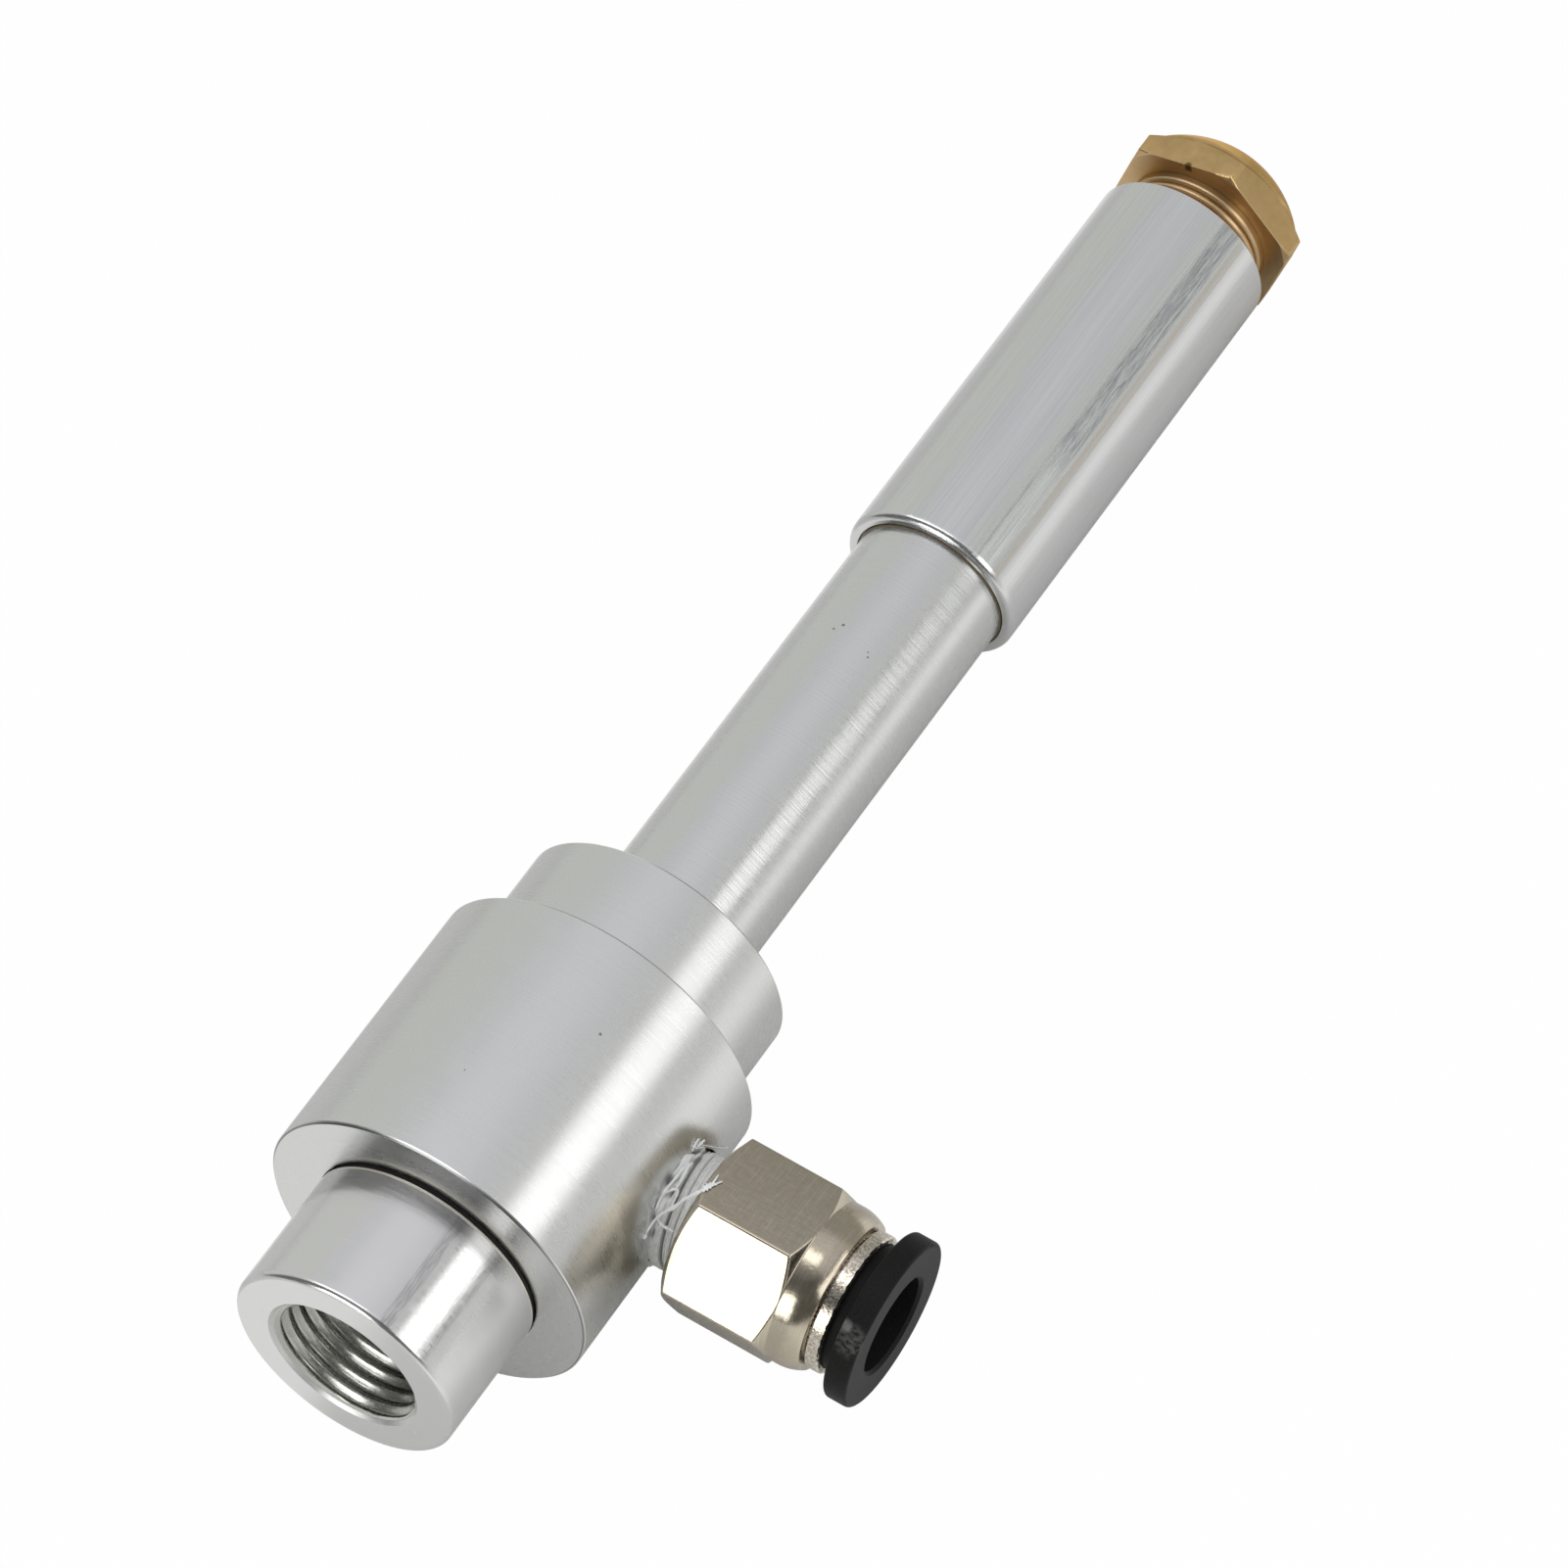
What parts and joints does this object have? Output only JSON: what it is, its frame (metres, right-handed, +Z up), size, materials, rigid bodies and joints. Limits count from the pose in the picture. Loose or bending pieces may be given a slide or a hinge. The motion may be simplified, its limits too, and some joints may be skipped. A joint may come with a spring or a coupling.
{
  "type": "vortex tube",
  "caption": "Vortex tube: turned metal housing with a push-in air fitting on its side, a threaded cold-air nozzle, and a long hot tube ending in a screw-in brass control valve.",
  "frame": {"origin": "middle of the bounding box, on the surface the part lies on", "axes": "+X along the tube on plan, from the cold nozzle to the brass hot end; +Z up; the side fitting points along -Y and a little down. The part lies on the housing's rear rim, a corner of the brass head and the release collar's rim, so the tube runs down by 3.9 degrees towards the hot end and the fitting points down by 13.9 degrees."},
  "size_m": [0.1382, 0.049, 0.0306],
  "materials": {
    "turned_aluminium": "satin, very fine turning lines",
    "tube_aluminium": "satin, coarser turning ridges",
    "sleeve_aluminium": "drawn, faint lengthwise streaks",
    "valve_brass": "machined, satin flats",
    "plated_brass": "nickel plated, polished shoulder",
    "ring_steel": "bright plated",
    "spring_steel": "bright strip",
    "black_rubber": "matt",
    "black_plastic": "moulded, matt",
    "white_tape": "thin wound tape",
    "pale_plastic": "moulded, matt"
  },
  "bodies": {
    "housing_group": {"housing": "turned_aluminium", "cold_nozzle": "turned_aluminium", "cold_nozzle_seal": "black_rubber", "generator_gasket": "black_rubber", "vortex_generator": "pale_plastic", "hot_tube": "tube_aluminium", "hot_side_cap": "turned_aluminium", "hot_tube_seal": "black_rubber", "exhaust_sleeve": "sleeve_aluminium", "inlet_fitting": "plated_brass", "thread_tape": "white_tape", "tube_seal": "black_rubber", "seal_spacer": "pale_plastic", "grab_ring": "spring_steel", "fitting_end_ring": "ring_steel"},
    "valve_seal_group": {"valve_seal": "black_rubber"},
    "valve_group": {"control_valve": "valve_brass"},
    "collar_group": {"release_collar": "black_plastic"}
  },
  "joints": [
    {"name": "valve_travel", "type": "slide", "parent": "housing_group", "child": "valve_seal_group", "axis": [0.9977, 0, -0.0676], "range_m": [-0.002, 0.00266]},
    {"name": "valve_turn", "type": "hinge", "parent": "valve_seal_group", "child": "valve_group", "pos_m": [0.06245, 0.01002, 0.00806], "axis": [0.9977, 0, -0.0676], "range_deg": [-540, 720]},
    {"name": "collar_press", "type": "slide", "parent": "housing_group", "child": "collar_group", "axis": [0.0163, 0.9705, 0.2406], "range_m": [0, 0.001], "stiffness_N_per_m": 2000, "springref_m": -0.0005}
  ],
  "couplings": [
    {"joint": "valve_turn", "follows": "valve_travel", "rad_per_m": 4699.5}
  ]
}
